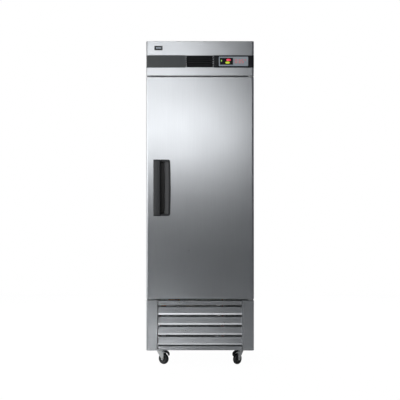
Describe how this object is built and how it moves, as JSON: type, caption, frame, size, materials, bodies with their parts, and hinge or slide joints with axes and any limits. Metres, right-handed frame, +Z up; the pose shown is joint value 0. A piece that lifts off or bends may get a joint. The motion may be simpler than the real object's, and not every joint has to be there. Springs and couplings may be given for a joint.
{
  "type": "reach in refrigerator",
  "caption": "Tall stainless steel reach-in refrigerator with a solid hinged door, pocket handle, black header band with display, louvred base and swivel casters.",
  "frame": {"origin": "on the floor, under the middle of the cabinet's outer box", "axes": "+X to the right as a user faces the door, the door faces -Y, +Z up"},
  "size_m": [0.7, 0.8201, 2.116],
  "materials": {
    "stainless_front": "satin",
    "stainless_side": "satin",
    "liner_steel": "satin",
    "galvanised": "satin",
    "foam": "matte",
    "light_plastic": "satin",
    "black_band": "satin",
    "grey_band": "satin",
    "handle_plastic": "satin",
    "bezel_silver": "satin",
    "window_black": "gloss",
    "badge_black": "satin",
    "gasket_grey": "matte",
    "shelf_coating": "satin",
    "zinc": "satin",
    "copper": "satin",
    "fin_aluminium": "satin",
    "compressor_black": "satin",
    "motor_grey": "satin",
    "black_plastic": "satin",
    "white_lens": "matte",
    "tyre_rubber": "matte",
    "blade_grey": "satin"
  },
  "bodies": {
    "root": {"side_panel_left": "stainless_side", "side_panel_right": "stainless_side", "top_panel": "galvanised", "back_panel": "galvanised", "face_frame": "liner_steel", "cabinet_foam": "foam", "inner_liner": "liner_steel", "breaker_strips": "light_plastic", "shelf_standards": "liner_steel", "shelf_clips": "liner_steel", "shelf_upper": "shelf_coating", "shelf_middle": "shelf_coating", "shelf_lower": "shelf_coating", "evaporator_coil": "fin_aluminium", "evaporator_cover": "light_plastic", "fan_motors": "motor_grey", "drain_line": "light_plastic", "interior_light": "white_lens", "door_switch_body": "black_plastic", "header_panel": "stainless_front", "header_blank_cover": "grey_band", "header_vent_grille": "black_band", "control_surround": "black_band", "control_bezel": "bezel_silver", "indicator_window": "window_black", "control_module": "black_plastic", "nameplate": "badge_black", "hinge_brackets": "zinc", "front_grille": "stainless_front", "corner_posts": "stainless_front", "base_frame": "galvanised", "compressor": "compressor_black", "condenser": "fin_aluminium", "refrigerant_lines": "copper", "condensate_pan": "light_plastic", "rear_cover": "galvanised", "cord_gland": "black_plastic", "fasteners": "zinc", "caster_plates": "zinc"},
    "evaporator_fan": {"evaporator_fan": "blade_grey"},
    "condenser_fan": {"condenser_fan": "blade_grey"},
    "door_switch_plunger": {"door_switch_plunger": "light_plastic"},
    "door": {"door_skin": "stainless_front", "door_foam": "foam", "door_liner": "liner_steel", "door_gasket": "gasket_grey", "door_handle_pocket": "handle_plastic", "door_handle_grip": "handle_plastic", "hinge_bush": "black_plastic", "door_closer": "zinc"},
    "caster_front_left": {"caster_fork_front_left": "zinc"},
    "wheel_front_left": {"caster_wheel_front_left": "tyre_rubber"},
    "brake_front_left": {"caster_brake_front_left": "black_plastic"},
    "caster_front_right": {"caster_fork_front_right": "zinc"},
    "wheel_front_right": {"caster_wheel_front_right": "tyre_rubber"},
    "brake_front_right": {"caster_brake_front_right": "black_plastic"},
    "caster_rear_left": {"caster_fork_rear_left": "zinc"},
    "wheel_rear_left": {"caster_wheel_rear_left": "tyre_rubber"},
    "caster_rear_right": {"caster_fork_rear_right": "zinc"},
    "wheel_rear_right": {"caster_wheel_rear_right": "tyre_rubber"}
  },
  "joints": [
    {"name": "door_hinge", "type": "hinge", "parent": "root", "child": "door", "pos_m": [0.329, -0.363, 1.16], "axis": [0, 0, 1], "range_deg": [0, 120], "stiffness_Nm_per_rad": 3, "springref_deg": -17.19},
    {"name": "evaporator_fan_spin", "type": "hinge", "parent": "root", "child": "evaporator_fan", "pos_m": [0, -0.09, 1.878], "axis": [0, 0, 1], "continuous": true},
    {"name": "condenser_fan_spin", "type": "hinge", "parent": "root", "child": "condenser_fan", "pos_m": [-0.06, -0.206, 0.271], "axis": [0, 1, 0], "continuous": true},
    {"name": "door_switch_travel", "type": "slide", "parent": "root", "child": "door_switch_plunger", "axis": [0, -1, 0], "range_m": [0, 0.006]},
    {"name": "swivel_front_left", "type": "hinge", "parent": "root", "child": "caster_front_left", "pos_m": [-0.263, -0.276, 0.098], "axis": [0, 0, 1], "continuous": true},
    {"name": "roll_front_left", "type": "hinge", "parent": "caster_front_left", "child": "wheel_front_left", "pos_m": [-0.24088, -0.29149, 0.036], "axis": [0.5736, 0.8192, 0], "continuous": true},
    {"name": "pedal_front_left", "type": "hinge", "parent": "caster_front_left", "child": "brake_front_left", "pos_m": [-0.23843, -0.29321, 0.087], "axis": [0.5736, 0.8192, 0], "range_deg": [0, 8]},
    {"name": "swivel_front_right", "type": "hinge", "parent": "root", "child": "caster_front_right", "pos_m": [0.263, -0.276, 0.098], "axis": [0, 0, 1], "continuous": true},
    {"name": "roll_front_right", "type": "hinge", "parent": "caster_front_right", "child": "wheel_front_right", "pos_m": [0.24564, -0.29668, 0.036], "axis": [0.766, -0.6428, 0], "continuous": true},
    {"name": "pedal_front_right", "type": "hinge", "parent": "caster_front_right", "child": "brake_front_right", "pos_m": [0.24372, -0.29898, 0.087], "axis": [0.766, -0.6428, 0], "range_deg": [0, 8]},
    {"name": "swivel_rear_left", "type": "hinge", "parent": "root", "child": "caster_rear_left", "pos_m": [-0.263, 0.328, 0.098], "axis": [0, 0, 1], "continuous": true},
    {"name": "roll_rear_left", "type": "hinge", "parent": "caster_rear_left", "child": "wheel_rear_left", "pos_m": [-0.25032, 0.35184, 0.036], "axis": [-0.8829, 0.4695, 0], "continuous": true},
    {"name": "swivel_rear_right", "type": "hinge", "parent": "root", "child": "caster_rear_right", "pos_m": [0.263, 0.328, 0.098], "axis": [0, 0, 1], "continuous": true},
    {"name": "roll_rear_right", "type": "hinge", "parent": "caster_rear_right", "child": "wheel_rear_right", "pos_m": [0.25032, 0.35184, 0.036], "axis": [-0.8829, -0.4695, 0], "continuous": true}
  ],
  "couplings": [
    {"joint": "door_switch_travel", "follows": "door_hinge", "m_per_rad": 0.0028}
  ]
}
